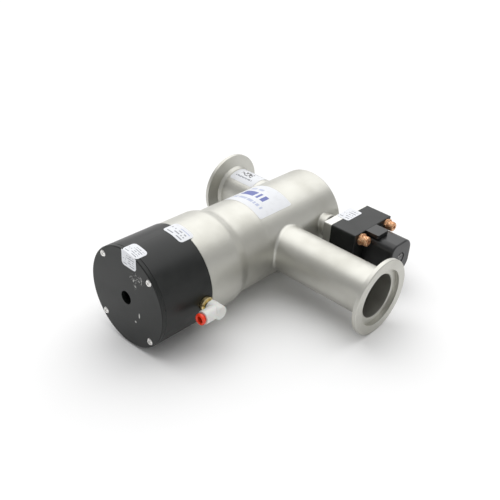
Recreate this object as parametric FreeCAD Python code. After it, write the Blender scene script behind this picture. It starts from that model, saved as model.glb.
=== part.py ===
import FreeCAD, Part
import math
import os

from FreeCAD import Vector

# A pneumatically actuated, bellows-sealed vacuum poppet valve with two small-flange
# ports and a solenoid vent valve. Millimetres. While a shape is made, +X runs along
# the body axis from the actuator's end face, Y is the port axis and +Z is up.
# Everything is then moved so that the origin is the outlet port's sealing face.

# ---- small-flange ports -------------------------------------------------------
FLANGE_R = 27.5            # 55 mm clamping flange for a 40 mm nominal bore
FLANGE_RIM = 3.0           # thickness of the rim at its edge
FLANGE_TAPER = 15.0        # degrees, back of the rim
HUB_R = 18.9               # radius where the taper meets the neck
FLANGE_LENGTH = 9.0        # face to butt weld
RECESS_R = 20.6            # seat of the centring ring
RECESS_DEPTH = 2.6
PORT_R = 17.4              # outside of the port tubes
PORT_BORE_R = 16.1
OUTLET_X = 123.0
OUTLET_FACE_Y = -111.1
INLET_X = 161.6
INLET_FACE_Y = 68.3

# ---- body ---------------------------------------------------------------------
TUBE_R = 32.1              # outside of the body tube
TUBE_WALL = 2.0
TUBE_BORE_R = TUBE_R - TUBE_WALL
TUBE_START = 102.8
TUBE_END = 181.4
PLATE_THICKNESS = 3.0
PLATE_RECESS = 0.5         # weld relief behind the tube's end
SEAM_WIDTH = 1.0
SEAM_DEPTH = 0.12
SEAT_FACE = 141.0
SEAT_THICKNESS = 3.4
SEAT_HOLE_R = 15.6

# ---- bonnet -------------------------------------------------------------------
BONNET_START = 42.3
BONNET_R = 35.05
BONNET_NECK_R = 32.3
BONNET_SHOULDER = (70.5, 78.6)
BONNET_BLEND = 9.0
BONNET_END = TUBE_START - SEAM_WIDTH
BONNET_BORE_R = 26.0
BONNET_EDGE = 1.1

# ---- air cylinder -------------------------------------------------------------
BARREL_R = 35.5
CYLINDER_R = 28.0          # bore of the barrel
CAP_THICKNESS = 3.0
CAP_CHAMFER = 0.5
SPIGOT = 3.0               # depth of the cap's locating spigot
SPIGOT_WALL = 3.0
BREATHER_HOLE_R = 4.75
BASE_START = 37.5          # inside face of the barrel's base
SCREW_R = 1.5
SCREW_PITCH_R = 32.0
SCREW_HEAD_R = 2.5
SCREW_HEAD = 1.7
SCREW_SINK = 1.3           # depth of the head's counterbore
SCREW_END = 55.0
SCREW_ANGLES = (45.0, 135.0, 225.0, 315.0)

# ---- moving stem --------------------------------------------------------------
STROKE = 16.0
RUNNING = 0.05             # radial clearance of sliding pieces
STEM_R = 5.0
STEM_THREAD_R = 3.0
STEM_TIP = 19.5
STEM_SHOULDER = 33.0
STEM_END = 133.0
PISTON_LENGTH = 8.0
PISTON_R = 27.7
NUT_THICKNESS = 5.0
NUT_FLATS = 10.0
POPPET_R = 20.0
POPPET_FACE = SEAT_FACE - 0.5
POPPET_SEAL_R = 17.7
POPPET_SEAL_SECTION = 1.1
POPPET_SCREW_R = 2.45
POPPET_HEAD_R = 4.25

# ---- bellows and return spring ------------------------------------------------
CARRIER_R = 29.5
CARRIER_THICKNESS = 3.0
NECK_R = 16.0
NECK_BORE_R = 14.4
BELLOWS_START = 84.0
BELLOWS_END = 130.0
BELLOWS_CREST_R = 18.2
BELLOWS_ROOT_R = 13.2
BELLOWS_FOLDS = 12
BELLOWS_WALL = 0.35
SPRING_R = 9.4
SPRING_WIRE_R = 1.1
SPRING_TURNS = 11

# ---- push-in elbow ------------------------------------------------------------
ELBOW_X = 35.8
ELBOW_Z = -2.6
ADAPTER_FLANGE_R = 5.2
ADAPTER_NECK_R = 3.9
ADAPTER_THREAD_R = 3.8
ADAPTER_STEM_R = 3.0
ADAPTER_GROOVE_R = 2.05
ADAPTER_WAIST_R = 2.0
ELBOW_STANDOFF = 5.0       # barrel to the start of the elbow
HUB_LENGTH = 10.0
ELBOW_HUB_R = 4.9
LEG_SETBACK = 5.3          # start of the elbow to the axis of its leg
LEG_R = 4.6
LEG_END_X = 24.0
TUBE_SOCKET_R = 2.05       # takes a 4 mm air tube
RING_POCKET_R = 3.5
RING_POCKET = (3.6, 6.2)   # from the mouth of the leg
TUBE_STOP = 8.6
TUBE_GRIP_R = 1.85         # of the seal and the grab ring, before a tube spreads them
COLLET_R = 2.9
COLLET_BORE_R = 2.25
COLLET_COLLAR_R = 3.9
COLLET_COLLAR = (1.4, 3.2)
COLLET_FINGER = 2.4
COLLET_TRAVEL = 1.2

# ---- vent valve ---------------------------------------------------------------
VENT_X = 162.5
VENT_Z = 6.5
BOSS_R = 8.7
BOSS_END_Y = -36.4
GASKET = 0.6
BLOCK_X = (154.0, 199.5)
BLOCK_Z = (-19.4, 14.0)
ADAPTER_PLATE = 6.5
BLOCK_DEPTH = 21.5
BREATHER_X = (161.5, 194.0)
BREATHER_Z = 9.2
COIL_X = (166.0, 191.0)
COIL_Z = (-16.0, 10.6)
COIL_LENGTH = 24.0
COIL_STANDOFF = 1.2
NUT_RECESS_R = 4.6
NUT_RECESS = 1.2
COIL_NUT_FLATS = 7.0
YOKE_REACH = 11.0
YOKE_END_X = 180.0
VENT_LABEL_X = (168.0, 186.0)
VENT_LABEL_END_Y = -48.2
CORE_R = 5.0
CORE_COVER = 2.6           # end of the core tube to the end of the coil
PLUNGER_R = 4.0
PLUNGER_TRAVEL = 1.4
LABEL = 0.15               # thickness of a sticker

X_AXIS = Vector(1, 0, 0)
Y_AXIS = Vector(0, 1, 0)
Z_AXIS = Vector(0, 0, 1)
FACE_PLATE_Y = BOSS_END_Y - GASKET
BLOCK_BACK_Y = FACE_PLATE_Y - ADAPTER_PLATE
BLOCK_FACE_Y = BLOCK_BACK_Y - BLOCK_DEPTH
COIL_BACK_Y = BLOCK_FACE_Y - COIL_STANDOFF
COIL_END_Y = COIL_BACK_Y - COIL_LENGTH
HUB_START_Y = -(BARREL_R + ELBOW_STANDOFF)
HUB_END_Y = HUB_START_Y - HUB_LENGTH
LEG_Y = HUB_START_Y - LEG_SETBACK
CORE_REACH = COIL_STANDOFF + COIL_LENGTH - CORE_COVER   # block face to the end of the core tube
CORE_X = sum(COIL_X) / 2
CORE_Z = sum(COIL_Z) / 2


# ---- shape helpers ------------------------------------------------------------
def turned(profile, base=Vector(), direction=X_AXIS, sweep=360.0):
    """Revolve points given as (distance along the axis, radius)."""
    points = [Vector(along, 0, radius) for along, radius in profile]
    face = Part.Face(Part.makePolygon(points + points[:1]))
    solid = face.revolve(Vector(), X_AXIS, sweep)
    solid.Placement = FreeCAD.Placement(base, FreeCAD.Rotation(X_AXIS, direction))
    return solid


def rod(radius, base, direction, length):
    return Part.makeCylinder(radius, length, base, direction)


def ring(outer, inner, base, direction, length):
    overrun = direction * 1.0
    hole = rod(inner, base - overrun, direction, length + 2.0)
    return rod(outer, base, direction, length).cut(hole)


def along_x(outer, inner, start, end):
    return ring(outer, inner, Vector(start, 0, 0), X_AXIS, end - start)


def o_ring(radius, section, centre, direction=X_AXIS):
    return Part.makeTorus(radius, section, centre, direction)


def box(x, y, z):
    low = Vector(min(x), min(y), min(z))
    return Part.makeBox(max(x) - low.x, max(y) - low.y, max(z) - low.z, low)


def hexagon(flats, base, direction, length, bore=0.0):
    corner = flats / math.sqrt(3)
    points = [
        Vector(0, corner * math.cos(math.radians(a)), corner * math.sin(math.radians(a)))
        for a in range(30, 391, 60)
    ]
    prism = Part.Face(Part.makePolygon(points)).extrude(X_AXIS * length)
    prism.Placement = FreeCAD.Placement(base, FreeCAD.Rotation(X_AXIS, direction))
    if bore:
        prism = prism.cut(rod(bore, base - direction, direction, length + 2.0))
    return prism


def rounded(shape, radius, wanted):
    """Fillet the edges whose middle satisfies a test."""
    edges = [e for e in shape.Edges if wanted(e.CenterOfMass)]
    return shape.makeFillet(radius, edges) if edges else shape


def coil_spring(radius, wire, start, end, turns, direction=X_AXIS, base=Vector()):
    """A helical spring with flat ground ends."""
    length = end - start
    pitch = length / turns
    helix = Part.makeLongHelix(pitch, length, radius)
    section = Part.Wire(Part.makeCircle(wire, Vector(radius, 0, 0), Y_AXIS))
    spring = Part.Wire(helix.Edges).makePipeShell([section], True, True)
    spring = spring.common(rod(radius + 2 * wire, Vector(), Z_AXIS, length))
    spring.Placement = FreeCAD.Placement(
        base + direction * start, FreeCAD.Rotation(Z_AXIS, direction)
    )
    return spring


def wrapped_label(x, angles, radius, corner=1.5):
    """A sticker round the X axis; angles run from -Y (0) over the top (90)."""
    sheet = turned(
        [(x[0], radius), (x[1], radius), (x[1], radius + LABEL), (x[0], radius + LABEL)],
        sweep=angles[1] - angles[0],
    )
    sheet.rotate(Vector(), X_AXIS, 90.0 - angles[1])
    edges = [
        e for e in sheet.Edges
        if e.Length < 2 * LABEL and abs(e.CenterOfMass.x - sum(x) / 2) > 1.0
    ]
    return sheet.makeFillet(corner, edges)


# ---- ports --------------------------------------------------------------------
def flange(face, direction):
    """A small flange with its centring recess; direction leads into the tube."""
    taper = (FLANGE_R - HUB_R) * math.tan(math.radians(FLANGE_TAPER))
    edge = 0.35
    profile = [
        (0, RECESS_R), (0, FLANGE_R - edge), (edge, FLANGE_R),
        (FLANGE_RIM, FLANGE_R), (FLANGE_RIM + taper, HUB_R),
        (FLANGE_LENGTH - 1.2, PORT_R), (FLANGE_LENGTH, PORT_R),
        (FLANGE_LENGTH, PORT_BORE_R), (RECESS_DEPTH + 0.5, PORT_BORE_R),
        (RECESS_DEPTH, PORT_BORE_R + 0.5), (RECESS_DEPTH, RECESS_R),
    ]
    return turned(profile, face, direction)


def port_tube(x, face_y):
    """Port tube, fish-mouthed onto the body tube."""
    inward = Vector(0, -math.copysign(1.0, face_y), 0)
    start = Vector(x, face_y, 0) + inward * FLANGE_LENGTH
    length = abs(face_y) - FLANGE_LENGTH
    tube = ring(PORT_R, PORT_BORE_R, start, inward, length)
    return tube.cut(rod(TUBE_R, Vector(TUBE_START, 0, 0), X_AXIS, TUBE_END - TUBE_START))


def body_tube():
    edge = 0.4
    profile = [
        (TUBE_START, TUBE_BORE_R), (TUBE_START, TUBE_R - edge),
        (TUBE_START + edge, TUBE_R), (TUBE_END - 1.2, TUBE_R),
        (TUBE_END - 0.35, TUBE_R - 0.35), (TUBE_END, TUBE_R - 1.2),
        (TUBE_END, TUBE_BORE_R),
    ]
    tube = turned(profile)
    reach = TUBE_R + 2.0
    tube = tube.cut(rod(PORT_BORE_R, Vector(OUTLET_X, 0, 0), -Y_AXIS, reach))
    tube = tube.cut(rod(PORT_BORE_R, Vector(INLET_X, 0, 0), Y_AXIS, reach))
    return tube.cut(rod(3.2, Vector(VENT_X, 0, VENT_Z), -Y_AXIS, reach))


def seat_plate():
    profile = [
        (SEAT_FACE, SEAT_HOLE_R), (SEAT_FACE, TUBE_BORE_R),
        (SEAT_FACE + SEAT_THICKNESS, TUBE_BORE_R),
        (SEAT_FACE + SEAT_THICKNESS, SEAT_HOLE_R + 1.5),
        (SEAT_FACE + SEAT_THICKNESS - 1.5, SEAT_HOLE_R),
    ]
    return turned(profile)


# ---- bonnet and bellows carrier -----------------------------------------------
def bonnet():
    start, stop = BONNET_SHOULDER
    lap = BONNET_START + CARRIER_THICKNESS
    profile = [
        (BONNET_START, CARRIER_R + 0.3), (BONNET_START, BONNET_R - 0.4),
        (BONNET_START + 0.4, BONNET_R), (start, BONNET_R), (stop, BONNET_NECK_R),
        (BONNET_END, BONNET_NECK_R), (BONNET_END, BONNET_BORE_R),
        (lap, BONNET_BORE_R), (lap, CARRIER_R + 0.3),
    ]
    shape = turned(profile)
    shape = rounded(
        shape, BONNET_BLEND,
        lambda c: start - 0.1 < c.x < stop + 0.1 and abs(c.y) < 1 and abs(c.z) < 1
        and (abs(c.x - start) < 0.1 or abs(c.x - stop) < 0.1),
    )
    outer_edge = [
        e for e in shape.Edges
        if abs(e.CenterOfMass.x - BONNET_END) < 0.01 and e.Length > 6.2 * BONNET_NECK_R
    ]
    shape = shape.makeFillet(BONNET_EDGE, outer_edge)
    groove = along_x(28.8, 27.0, lap - 0.5, lap + 1.3)
    shape = shape.cut(groove)
    for centre in screw_centres(BONNET_START):
        shape = shape.cut(rod(SCREW_R, centre - X_AXIS, X_AXIS, SCREW_END + 3.0 - BONNET_START))
    return shape


def bellows_carrier():
    start = BONNET_START
    step = start + CARRIER_THICKNESS
    profile = [
        (start, 8.0), (start, CARRIER_R), (step, CARRIER_R), (step, NECK_R + 1.0),
        (step + 1.0, NECK_R), (BELLOWS_START, NECK_R), (BELLOWS_START, NECK_BORE_R),
        (step, NECK_BORE_R), (step, 8.0),
    ]
    return turned(profile)


def bellows():
    """A thin zigzag membrane between the carrier's neck and the end ring."""
    half = (BELLOWS_END - BELLOWS_START) / (2 * BELLOWS_FOLDS)
    inner, outer = [], []
    for i in range(2 * BELLOWS_FOLDS + 1):
        x = BELLOWS_START + i * half
        radius = BELLOWS_CREST_R if i % 2 else BELLOWS_ROOT_R + 1.2
        inner.append((x, radius - BELLOWS_WALL))
        outer.append((x, radius + BELLOWS_WALL))
    return turned(inner + outer[::-1])


def bellows_end_ring():
    return turned([
        (BELLOWS_END, STEM_R + 0.02), (BELLOWS_END, BELLOWS_CREST_R),
        (STEM_END, BELLOWS_CREST_R), (STEM_END, STEM_R + 0.02),
    ])


# ---- air cylinder -------------------------------------------------------------
def screw_centres(x):
    for angle in SCREW_ANGLES:
        a = math.radians(angle)
        yield Vector(x, SCREW_PITCH_R * math.cos(a), SCREW_PITCH_R * math.sin(a))


def end_cap():
    spigot_r = CYLINDER_R - RUNNING
    deep = CAP_THICKNESS + SPIGOT
    cap = turned([
        (0, BREATHER_HOLE_R), (0, BARREL_R - CAP_CHAMFER), (CAP_CHAMFER, BARREL_R),
        (CAP_THICKNESS - 0.25, BARREL_R), (CAP_THICKNESS, BARREL_R - 0.25),
        (CAP_THICKNESS, spigot_r), (CAP_THICKNESS + 0.7, spigot_r),
        (CAP_THICKNESS + 0.7, spigot_r - 1.45), (CAP_THICKNESS + 2.2, spigot_r - 1.45),
        (CAP_THICKNESS + 2.2, spigot_r), (deep, spigot_r),
        (deep, spigot_r - SPIGOT_WALL), (CAP_THICKNESS, spigot_r - SPIGOT_WALL),
        (CAP_THICKNESS, BREATHER_HOLE_R),
    ])
    for centre in screw_centres(-1.0):
        cap = cap.cut(rod(SCREW_R + 0.2, centre, X_AXIS, CAP_THICKNESS + 2.0))
        cap = cap.cut(rod(SCREW_HEAD_R + 0.15, centre, X_AXIS, SCREW_SINK + 1.0))
    return cap


def tie_screws():
    """Four long pan-head screws through the cap and the barrel into the bonnet."""
    screws = []
    for centre in screw_centres(SCREW_SINK - SCREW_HEAD):
        head = turned(
            [(0, 0), (0, SCREW_HEAD_R - 0.6), (0.6, SCREW_HEAD_R),
             (SCREW_HEAD, SCREW_HEAD_R), (SCREW_HEAD, 0)], centre)
        shank = rod(SCREW_R - 0.05, centre + X_AXIS * SCREW_HEAD, X_AXIS, SCREW_END - SCREW_SINK)
        screw = head.fuse(shank)
        for angle in (0, 90):
            slot = Part.makeBox(1.0, 2.6, 0.6, Vector(-0.5, -1.3, -0.3))
            slot.rotate(Vector(), X_AXIS, angle + 30)
            slot.translate(centre)
            screw = screw.cut(slot)
        screws.append(screw)
    return Part.makeCompound(screws)


def cylinder_barrel():
    lip = 0.8
    barrel = turned([
        (CAP_THICKNESS, CYLINDER_R), (CAP_THICKNESS, BARREL_R - 0.25),
        (CAP_THICKNESS + 0.25, BARREL_R), (BONNET_START - 0.3, BARREL_R),
        (BONNET_START, BARREL_R - 0.3), (BONNET_START, 8.0),
        (BASE_START + lip, 8.0), (BASE_START + lip, 6.2),
        (BASE_START, 6.2), (BASE_START, CYLINDER_R),
    ])
    barrel = barrel.cut(along_x(13.0, 11.2, BONNET_START - 1.3, BONNET_START + 1.0))
    for centre in screw_centres(CAP_THICKNESS - 1.0):
        barrel = barrel.cut(rod(SCREW_R + 0.2, centre, X_AXIS, BONNET_START))
    port = Vector(ELBOW_X, -BARREL_R - 1.0, ELBOW_Z)
    barrel = barrel.cut(rod(ADAPTER_THREAD_R + 0.05, port, Y_AXIS, 7.0))
    barrel = barrel.cut(rod(ADAPTER_FLANGE_R + 0.4, port, Y_AXIS, 1.5))
    return barrel.cut(rod(2.0, port, Y_AXIS, 12.0))


def piston():
    front = STEM_SHOULDER
    back = front - PISTON_LENGTH
    return turned([
        (back, STEM_THREAD_R + 0.02), (back, PISTON_R - 0.8), (back + 0.8, PISTON_R),
        (back + 2.0, PISTON_R), (back + 2.0, 25.0), (back + 4.4, 25.0),
        (back + 4.4, PISTON_R), (back + 5.2, PISTON_R), (back + 5.2, 26.0),
        (back + 7.2, 26.0), (back + 7.2, PISTON_R), (front, PISTON_R),
        (front, STEM_THREAD_R + 0.02),
    ])


def piston_ring(inner, start, end):
    back = STEM_SHOULDER - PISTON_LENGTH
    return along_x(CYLINDER_R - RUNNING, inner, back + start, back + end)


def stem():
    shape = turned([
        (STEM_TIP, 0), (STEM_TIP, STEM_THREAD_R - 0.6), (STEM_TIP + 0.6, STEM_THREAD_R),
        (STEM_SHOULDER, STEM_THREAD_R), (STEM_SHOULDER, STEM_R), (STEM_END, STEM_R),
        (STEM_END, 0),
    ])
    tapped = 12.0
    return shape.cut(rod(POPPET_SCREW_R + 0.05, Vector(STEM_END - tapped, 0, 0), X_AXIS, tapped))


def poppet():
    floor = POPPET_FACE - 4.5
    shape = turned([
        (STEM_END, POPPET_SCREW_R + 0.15), (STEM_END, POPPET_R - 1.0),
        (STEM_END + 1.0, POPPET_R), (POPPET_FACE - 0.6, POPPET_R),
        (POPPET_FACE, POPPET_R - 0.6), (POPPET_FACE, POPPET_HEAD_R + 0.6),
        (floor, POPPET_HEAD_R + 0.6), (floor, POPPET_SCREW_R + 0.15),
    ])
    depth = 2 * POPPET_SEAL_SECTION - 0.45
    groove = along_x(
        POPPET_SEAL_R + 1.2, POPPET_SEAL_R - 1.2, POPPET_FACE - depth, POPPET_FACE + 1.0)
    return shape.cut(groove)


def poppet_screw():
    floor = POPPET_FACE - 4.5
    head = turned([
        (floor, 0), (floor, POPPET_HEAD_R), (floor + 3.6, POPPET_HEAD_R),
        (floor + 4.0, POPPET_HEAD_R - 0.4), (floor + 4.0, 0)])
    head = head.cut(hexagon(4.0, Vector(floor + 1.6, 0, 0), X_AXIS, 4.0))
    reach = floor - STEM_END + 10.0
    return head.fuse(rod(POPPET_SCREW_R, Vector(floor - reach, 0, 0), X_AXIS, reach))


# ---- push-in elbow ------------------------------------------------------------
def elbow_adapter():
    """Threaded swivel stem with a retaining flange and air drillings."""
    base = Vector(ELBOW_X, 0, ELBOW_Z)
    flat = BARREL_R - 0.5
    hub, leg = -HUB_START_Y, -LEG_Y
    shape = turned([
        (flat - 5.0, 0), (flat - 5.0, ADAPTER_THREAD_R), (flat, ADAPTER_THREAD_R),
        (flat, ADAPTER_FLANGE_R - 0.4), (flat + 0.4, ADAPTER_FLANGE_R),
        (flat + 2.6, ADAPTER_FLANGE_R), (flat + 3.2, ADAPTER_FLANGE_R - 0.6),
        (flat + 3.2, ADAPTER_NECK_R), (hub - 0.3, ADAPTER_NECK_R),
        (hub - 0.3, ADAPTER_STEM_R), (hub + 1.6, ADAPTER_STEM_R), (hub + 1.6, ADAPTER_GROOVE_R),
        (hub + 2.8, ADAPTER_GROOVE_R), (hub + 2.8, ADAPTER_STEM_R), (leg - 1.9, ADAPTER_STEM_R),
        (leg - 1.9, ADAPTER_WAIST_R), (leg + 1.9, ADAPTER_WAIST_R), (leg + 1.9, ADAPTER_STEM_R - 0.15),
        (leg + 2.6, ADAPTER_STEM_R - 0.15), (leg + 2.6, 0),
    ], base, -Y_AXIS)
    shape = shape.cut(rod(1.5, base, -Y_AXIS, leg + 1.9))
    return shape.cut(rod(1.3, Vector(ELBOW_X - 5, LEG_Y, ELBOW_Z), X_AXIS, 10.0))


def elbow_body():
    mouth = Vector(LEG_END_X, LEG_Y, ELBOW_Z)
    start = Vector(ELBOW_X, HUB_START_Y, ELBOW_Z)
    hub = rod(ELBOW_HUB_R, start, -Y_AXIS, HUB_START_Y - HUB_END_Y)
    hub = rounded(hub, 1.4, lambda c: abs(c.y - HUB_END_Y) < 0.01)
    leg = rod(LEG_R, mouth, X_AXIS, ELBOW_X - LEG_END_X)
    leg = rounded(leg, 0.6, lambda c: abs(c.x - LEG_END_X) < 0.01)
    shape = hub.fuse(leg).removeSplitter()
    bore = start + Y_AXIS
    shape = shape.cut(rod(ADAPTER_STEM_R + 0.08, bore, -Y_AXIS, bore.y - HUB_END_Y - 1.6))
    steps = ((-1.0, RING_POCKET[0] + 0.1, COLLET_R + 0.08), (*RING_POCKET, RING_POCKET_R),
             (RING_POCKET[1], TUBE_STOP, TUBE_SOCKET_R), (TUBE_STOP, ELBOW_X - LEG_END_X, 1.5))
    for start, end, radius in steps:
        shape = shape.cut(rod(radius, mouth + X_AXIS * start, X_AXIS, end - start))
    return shape


def release_collet():
    """Push-in collet: a collar outside the leg and slit fingers inside it."""
    collar = LEG_END_X - COLLET_COLLAR[1]
    neck = LEG_END_X - COLLET_COLLAR[0]
    tip = LEG_END_X + COLLET_FINGER
    shape = turned([
        (collar, COLLET_BORE_R + 0.5), (collar, COLLET_COLLAR_R - 0.5),
        (collar + 0.5, COLLET_COLLAR_R), (neck, COLLET_COLLAR_R), (neck, COLLET_R),
        (tip, COLLET_R), (tip, COLLET_BORE_R), (collar + 0.5, COLLET_BORE_R),
    ], Vector(0, LEG_Y, ELBOW_Z))
    for angle in (0, 90):
        slit = Part.makeBox(3.0, 10.0, 0.6, Vector(LEG_END_X + 0.4, -5.0, -0.3))
        slit.rotate(Vector(), X_AXIS, angle)
        slit.translate(Vector(0, LEG_Y, ELBOW_Z))
        shape = shape.cut(slit)
    return shape


# ---- vent valve ---------------------------------------------------------------
def block(depth_start, depth_end, corner):
    shape = box(BLOCK_X, (depth_start, depth_end), BLOCK_Z)
    return rounded(
        shape, corner,
        lambda c: abs(abs(c.x - sum(BLOCK_X) / 2) - (BLOCK_X[1] - BLOCK_X[0]) / 2) < 0.01
        and abs(abs(c.z - sum(BLOCK_Z) / 2) - (BLOCK_Z[1] - BLOCK_Z[0]) / 2) < 0.01,
    )


def vent_boss():
    edge = 0.5
    reach = -BOSS_END_Y - 20.0
    boss = turned([
        (0, 3.2), (0, BOSS_R - edge), (edge, BOSS_R), (2.2, BOSS_R),
        (2.2, BOSS_R - 1.1), (reach, BOSS_R - 1.1), (reach, 3.2)],
        Vector(VENT_X, BOSS_END_Y, VENT_Z), Y_AXIS)
    return boss.cut(rod(TUBE_R, Vector(TUBE_START, 0, 0), X_AXIS, TUBE_END - TUBE_START))


def vent_screw_centres():
    for x in (BLOCK_X[0] + 4.5, BLOCK_X[1] - 4.5):
        yield x, BLOCK_Z[0] + 4.5


def vent_adapter_plate():
    plate = block(FACE_PLATE_Y, BLOCK_BACK_Y, 1.0)
    port = Vector(VENT_X, FACE_PLATE_Y + 1.0, VENT_Z)
    plate = plate.cut(rod(2.0, port, -Y_AXIS, ADAPTER_PLATE + 2.0))
    groove = ring(4.9, 3.1, Vector(VENT_X, BLOCK_BACK_Y - 1.0, VENT_Z), Y_AXIS, 2.3)
    plate = plate.cut(groove)
    for x, z in vent_screw_centres():
        plate = plate.cut(rod(1.5, Vector(x, BLOCK_BACK_Y - 1, z), Y_AXIS, 6.0))
    return plate


def vent_valve_body():
    """Black valve block: port drillings, breather ports and the plunger's chamber."""
    shape = block(BLOCK_BACK_Y, BLOCK_FACE_Y, 1.0)
    shape = rounded(shape, 0.5, lambda c: abs(c.y - BLOCK_FACE_Y) < 0.01 and c.z > 13.9)
    back = BLOCK_BACK_Y + 1.0
    shape = shape.cut(rod(2.0, Vector(VENT_X, back, VENT_Z), -Y_AXIS, 12.0))
    for x in BREATHER_X:
        shape = shape.cut(rod(2.5, Vector(x, BLOCK_FACE_Y - 1.0, BREATHER_Z), Y_AXIS, 8.0))
    gallery = Vector(BREATHER_X[0], BLOCK_FACE_Y + 6.0, BREATHER_Z)
    shape = shape.cut(rod(1.2, gallery, X_AXIS, BREATHER_X[1] - BREATHER_X[0]))
    chamber = Vector(CORE_X, BLOCK_FACE_Y - 1.0, CORE_Z)
    pocket = ring(6.6, 2.2, chamber + Y_AXIS * 7.5, Y_AXIS, 1.5)
    shape = shape.cut(rod(6.6, chamber, Y_AXIS, 7.5)).cut(pocket)
    shape = shape.cut(rod(1.0, chamber, Y_AXIS, 13.0))
    for x, z in vent_screw_centres():
        shape = shape.cut(rod(1.7, Vector(x, back, z), -Y_AXIS, BLOCK_DEPTH + 2))
        shape = shape.cut(rod(3.0, Vector(x, BLOCK_FACE_Y - 1, z), Y_AXIS, 4.2))
    return shape


def vent_screws():
    screws = []
    for x, z in vent_screw_centres():
        head = rod(2.75, Vector(x, BLOCK_FACE_Y + 0.2, z), Y_AXIS, 3.0)
        head = head.cut(hexagon(2.5, Vector(x, BLOCK_FACE_Y - 0.5, z), Y_AXIS, 2.2))
        shank = rod(1.45, Vector(x, BLOCK_FACE_Y + 3.2, z), Y_AXIS, BLOCK_DEPTH + 1.5)
        screws.append(head.fuse(shank))
    return Part.makeCompound(screws)


def breather(x):
    """Sintered silencer: threaded hexagon base and a round porous body."""
    base = Vector(x, BLOCK_FACE_Y, BREATHER_Z)
    thread = rod(2.45, base, Y_AXIS, 4.5)
    nut = hexagon(8.0, base, -Y_AXIS, 2.6)
    nose = turned([
        (2.6, 0), (2.6, 3.7), (6.0, 3.7), (6.9, 3.2), (7.4, 2.4), (7.4, 1.1), (6.2, 0.9),
        (6.2, 0)], base, -Y_AXIS)
    return thread.fuse(nut).fuse(nose).removeSplitter()


def core_tube():
    """Thin guide tube of the plunger, flanged into the valve block."""
    back = BLOCK_FACE_Y + 4.0
    tube = turned([
        (0, PLUNGER_R + 0.08), (0, 6.5), (1.5, 6.5), (1.5, CORE_R),
        (4.0 + CORE_REACH, CORE_R), (4.0 + CORE_REACH, PLUNGER_R + 0.08)],
        Vector(CORE_X, back, CORE_Z), -Y_AXIS)
    return tube


def fixed_core():
    back = BLOCK_FACE_Y - 12.6
    end = BLOCK_FACE_Y - CORE_REACH
    plug = rod(PLUNGER_R + 0.08, Vector(CORE_X, back, CORE_Z), -Y_AXIS, back - end)
    stud = rod(2.0, Vector(CORE_X, end, CORE_Z), -Y_AXIS, CORE_COVER - 0.2)
    return plug.fuse(stud)


def plunger():
    """Steel plunger with a pocket for its seal and one for its spring."""
    seal_end = BLOCK_FACE_Y + 5.0
    face = BLOCK_FACE_Y - 11.0
    shape = rod(PLUNGER_R, Vector(CORE_X, seal_end, CORE_Z), -Y_AXIS, seal_end - face)
    shape = shape.cut(rod(2.6, Vector(CORE_X, seal_end + 1, CORE_Z), -Y_AXIS, 3.0))
    return shape.cut(rod(2.3, Vector(CORE_X, face - 1, CORE_Z), Y_AXIS, 5.4))


def plunger_seal():
    return rod(2.6, Vector(CORE_X, BLOCK_FACE_Y + 5.4, CORE_Z), -Y_AXIS, 2.4)


def coil_profile(inset, flat_corner, round_corner):
    """Corners of the coil's D-shaped outline, as one extruded solid."""
    x = (COIL_X[0] + inset, COIL_X[1] - inset)
    z = (COIL_Z[0] + inset, COIL_Z[1] - inset)
    shape = box(x, (COIL_BACK_Y - inset, COIL_END_Y + inset), z)
    along_y = [e for e in shape.Edges if abs(e.tangentAt(e.FirstParameter).y) > 0.9]
    flat = [e for e in along_y if e.CenterOfMass.x < CORE_X]
    shape = shape.makeFillet(flat_corner, flat)
    along_y = [
        e for e in shape.Edges
        if abs(e.tangentAt(e.FirstParameter).y) > 0.9 and e.CenterOfMass.x > x[1] - 0.01
    ]
    return shape.makeFillet(round_corner, along_y)


def coil_housing():
    shape = coil_profile(0.0, 6.0, 9.0)
    end_edges = [e for e in shape.Edges if abs(e.CenterOfMass.y - COIL_END_Y) < 0.01]
    shape = shape.makeFillet(1.2, end_edges)
    mouth = Vector(CORE_X, COIL_BACK_Y + 1.0, CORE_Z)
    shape = shape.cut(rod(CORE_R + 0.05, mouth, -Y_AXIS, mouth.y - BLOCK_FACE_Y + CORE_REACH))
    shape = shape.cut(rod(2.1, mouth, -Y_AXIS, COIL_LENGTH + 2.0))
    winding = Vector(CORE_X, COIL_BACK_Y - 2.0, CORE_Z)
    shape = shape.cut(ring(10.6, CORE_R + 1.4, winding, -Y_AXIS, COIL_LENGTH - 5.0))
    return shape.cut(rod(NUT_RECESS_R, Vector(CORE_X, COIL_END_Y - 1, CORE_Z), Y_AXIS, NUT_RECESS + 1.0))


def coil_winding():
    winding = Vector(CORE_X, COIL_BACK_Y - 2.0, CORE_Z)
    return ring(10.5, CORE_R + 1.5, winding, -Y_AXIS, COIL_LENGTH - 5.1)


def coil_yoke():
    """Folded steel bracket over the coil's root."""
    start_x, front, under = COIL_X[0] + 1.0, BLOCK_FACE_Y - YOKE_REACH, COIL_Z[1] + 0.4
    top = box((start_x, YOKE_END_X), (BLOCK_FACE_Y, front), (under, BLOCK_Z[1]))
    top = rounded(top, 1.0, lambda c: abs(c.y - front) < 0.01 and abs(c.z - 12.5) < 0.4)
    web = box((start_x, COIL_X[1] - 2.0), (BLOCK_FACE_Y, COIL_BACK_Y), (COIL_Z[0] + 2.0, under))
    return top.fuse(web).cut(
        rod(CORE_R + 0.3, Vector(CORE_X, BLOCK_FACE_Y + 1, CORE_Z), -Y_AXIS, 4.0)).removeSplitter()


def coil_nut():
    base = Vector(CORE_X, COIL_END_Y + NUT_RECESS, CORE_Z)
    return hexagon(COIL_NUT_FLATS, base, -Y_AXIS, NUT_RECESS - 0.2, 2.0)


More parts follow.
